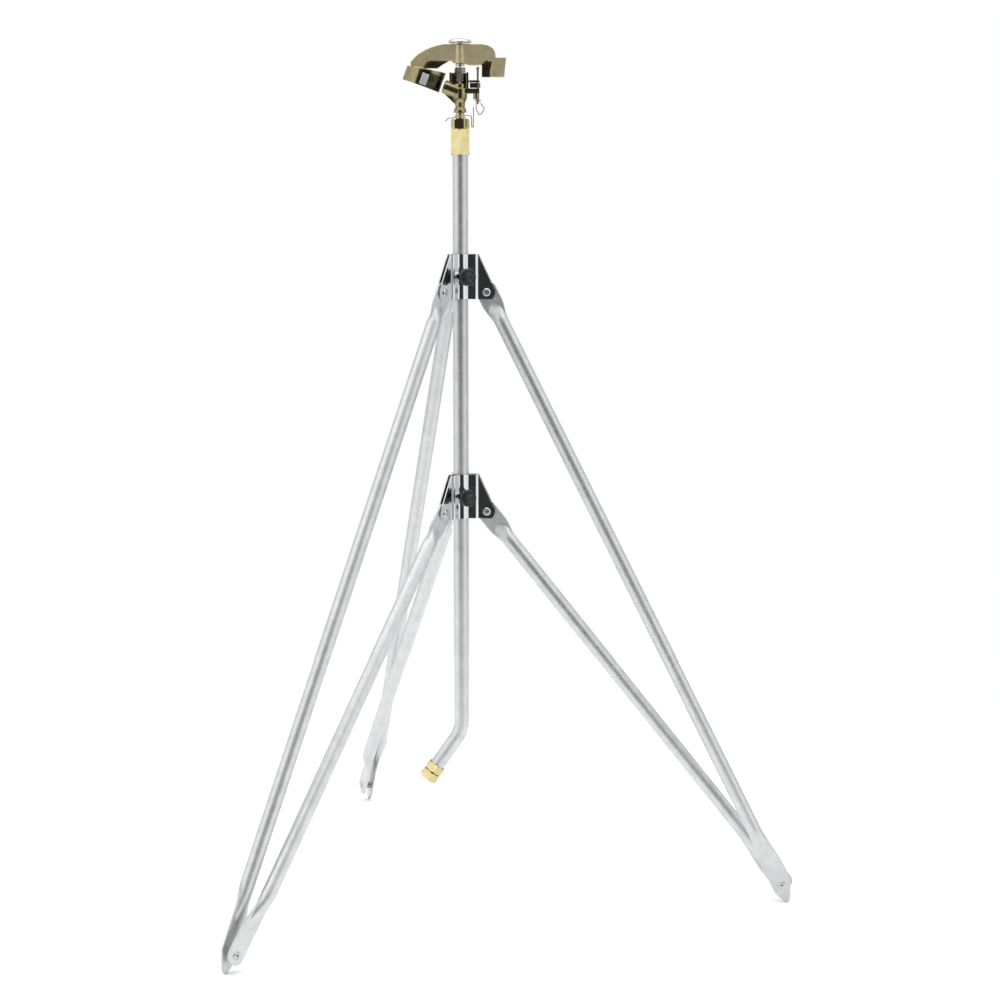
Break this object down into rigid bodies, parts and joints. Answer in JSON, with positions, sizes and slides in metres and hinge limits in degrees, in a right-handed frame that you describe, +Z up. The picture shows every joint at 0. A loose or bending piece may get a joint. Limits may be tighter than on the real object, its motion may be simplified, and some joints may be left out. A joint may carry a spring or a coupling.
{
  "type": "impact sprinkler on tripod",
  "caption": "Impact-drive lawn sprinkler head on a bent riser pipe held by two stamped hubs in a folding tripod of flattened steel tubes.",
  "frame": {"origin": "on the ground at the bottom centre of the whole object's box, with the stand open", "axes": "+Z up along the riser; the nozzle and the inlet point to -X and the tail weight to +X at rest"},
  "size_m": [0.7676, 0.8116, 1.1936],
  "materials": {
    "galvanised": "galvanised, satin",
    "dark_chrome": "dark polished plating",
    "steel": "bright zinc",
    "brass": "machined",
    "bronze_cast": "cast, antique bronze tone",
    "spring_steel": "dark wire",
    "black_plastic": "moulded",
    "rubber": "smooth"
  },
  "bodies": {
    "upper_hub": {"upper_hub_plate_1": "dark_chrome", "upper_hub_rivet_1": "steel", "upper_hub_plate_2": "dark_chrome", "upper_hub_rivet_2": "steel", "upper_hub_plate_3": "dark_chrome", "upper_hub_rivet_3": "steel", "upper_clamp_boss": "dark_chrome"},
    "upper_clamp": {"upper_clamp_screw": "steel", "upper_clamp_knob": "black_plastic"},
    "lower_hub": {"lower_hub_plate_1": "dark_chrome", "lower_hub_rivet_1": "steel", "lower_hub_plate_2": "dark_chrome", "lower_hub_rivet_2": "steel", "lower_hub_plate_3": "dark_chrome", "lower_hub_rivet_3": "steel", "lower_clamp_boss": "dark_chrome"},
    "lower_clamp": {"lower_clamp_screw": "steel", "lower_clamp_knob": "black_plastic"},
    "riser": {"riser_pipe": "galvanised", "riser_coupling": "brass", "inlet_adapter": "brass", "bearing_nipple": "brass"},
    "hose_swivel": {"hose_swivel_nut": "brass", "hose_washer": "rubber"},
    "collar_left": {"friction_collar_left": "steel"},
    "collar_right": {"friction_collar_right": "steel"},
    "drive_arm": {"drive_arm": "bronze_cast", "spoon_facing": "steel", "arm_bush": "brass"},
    "trip_lever": {"trip_lever": "spring_steel"},
    "head": {"stem_tube": "steel", "bearing_washer": "rubber", "pressure_spring": "spring_steel", "spring_cap": "bronze_cast", "sprinkler_body": "bronze_cast", "nozzle": "brass", "arm_shaft": "steel", "arm_washer": "steel", "arm_spring": "spring_steel", "shaft_cap": "steel", "trip_pin": "spring_steel", "trip_pin_nut": "steel", "trip_spring": "steel"},
    "upper_leg_1": {"upper_leg_1": "galvanised", "foot_rivet_1": "steel"},
    "lower_leg_1": {"lower_leg_1": "galvanised"},
    "upper_leg_2": {"upper_leg_2": "galvanised", "foot_rivet_2": "steel"},
    "lower_leg_2": {"lower_leg_2": "galvanised"},
    "upper_leg_3": {"upper_leg_3": "galvanised", "foot_rivet_3": "steel"},
    "lower_leg_3": {"lower_leg_3": "galvanised"}
  },
  "joints": [
    {"name": "riser_height", "type": "slide", "parent": "upper_hub", "child": "riser", "axis": [0, 0, 1], "range_m": [-0.12, 0.24]},
    {"name": "upper_clamp_turn", "type": "hinge", "parent": "upper_hub", "child": "upper_clamp", "pos_m": [-0.08243, -0.03491, 0.87125], "axis": [0.3584, -0.9336, 0], "range_deg": [-270, 0]},
    {"name": "lower_clamp_turn", "type": "hinge", "parent": "lower_hub", "child": "lower_clamp", "pos_m": [-0.08243, -0.03491, 0.56525], "axis": [0.3584, -0.9336, 0], "range_deg": [-270, 0]},
    {"name": "leg_fold_1", "type": "hinge", "parent": "upper_hub", "child": "upper_leg_1", "pos_m": [-0.04589, -0.0407, 0.85], "axis": [0.1564, 0.9877, 0], "range_deg": [0, 20.28]},
    {"name": "leg_fold_2", "type": "hinge", "parent": "upper_hub", "child": "upper_leg_2", "pos_m": [-0.09569, -0.00037, 0.85], "axis": [-0.9336, -0.3584, 0], "range_deg": [0, 20.33]},
    {"name": "leg_fold_3", "type": "hinge", "parent": "upper_hub", "child": "upper_leg_3", "pos_m": [-0.10572, -0.06366, 0.85], "axis": [0.7771, -0.6293, 0], "range_deg": [0, 20.33]},
    {"name": "strut_fold_1", "type": "hinge", "parent": "upper_leg_1", "child": "lower_leg_1", "pos_m": [0.36894, -0.1064, 0.025], "axis": [0.1564, 0.9877, 0], "range_deg": [0, 9.45]},
    {"name": "strut_fold_2", "type": "hinge", "parent": "upper_leg_2", "child": "lower_leg_2", "pos_m": [-0.24621, 0.39174, 0.025], "axis": [-0.9336, -0.3584, 0], "range_deg": [0, 9.45]},
    {"name": "strut_fold_3", "type": "hinge", "parent": "upper_leg_3", "child": "lower_leg_3", "pos_m": [-0.37003, -0.39007, 0.025], "axis": [0.7771, -0.6293, 0], "range_deg": [0, 9.45]},
    {"name": "lower_hub_slide", "type": "slide", "parent": "upper_hub", "child": "lower_hub", "axis": [0, 0, 1], "range_m": [0, 0.0457]},
    {"name": "hose_swivel_turn", "type": "hinge", "parent": "riser", "child": "hose_swivel", "pos_m": [-0.11707, -0.03491, 0.17752], "axis": [-0.5736, 0, -0.8192], "continuous": true},
    {"name": "head_turn", "type": "hinge", "parent": "riser", "child": "head", "pos_m": [-0.08243, -0.03491, 1.0955], "axis": [0, 0, 1], "continuous": true},
    {"name": "collar_left_turn", "type": "hinge", "parent": "riser", "child": "collar_left", "pos_m": [-0.08243, -0.03491, 1.0876], "axis": [0, 0, 1], "range_deg": [-170, 120]},
    {"name": "collar_right_turn", "type": "hinge", "parent": "riser", "child": "collar_right", "pos_m": [-0.08243, -0.03491, 1.0902], "axis": [0, 0, 1], "range_deg": [-120, 170]},
    {"name": "arm_swing", "type": "hinge", "parent": "head", "child": "drive_arm", "pos_m": [-0.08243, -0.03491, 1.172], "axis": [0, 0, 1], "range_deg": [0, 110], "stiffness_Nm_per_rad": 0.03, "springref_deg": -34.38},
    {"name": "trip_turn", "type": "hinge", "parent": "head", "child": "trip_lever", "pos_m": [-0.05823, -0.03791, 1.13], "axis": [0, 0, 1], "range_deg": [-25, 25]}
  ],
  "couplings": [
    {"joint": "leg_fold_2", "follows": "leg_fold_1", "ratio": 1},
    {"joint": "leg_fold_3", "follows": "leg_fold_1", "ratio": 1},
    {"joint": "strut_fold_1", "follows": "leg_fold_1", "ratio": 0.46308},
    {"joint": "strut_fold_2", "follows": "leg_fold_1", "ratio": 0.46308},
    {"joint": "strut_fold_3", "follows": "leg_fold_1", "ratio": 0.46308},
    {"joint": "lower_hub_slide", "follows": "leg_fold_1", "m_per_rad": 0.12833}
  ]
}
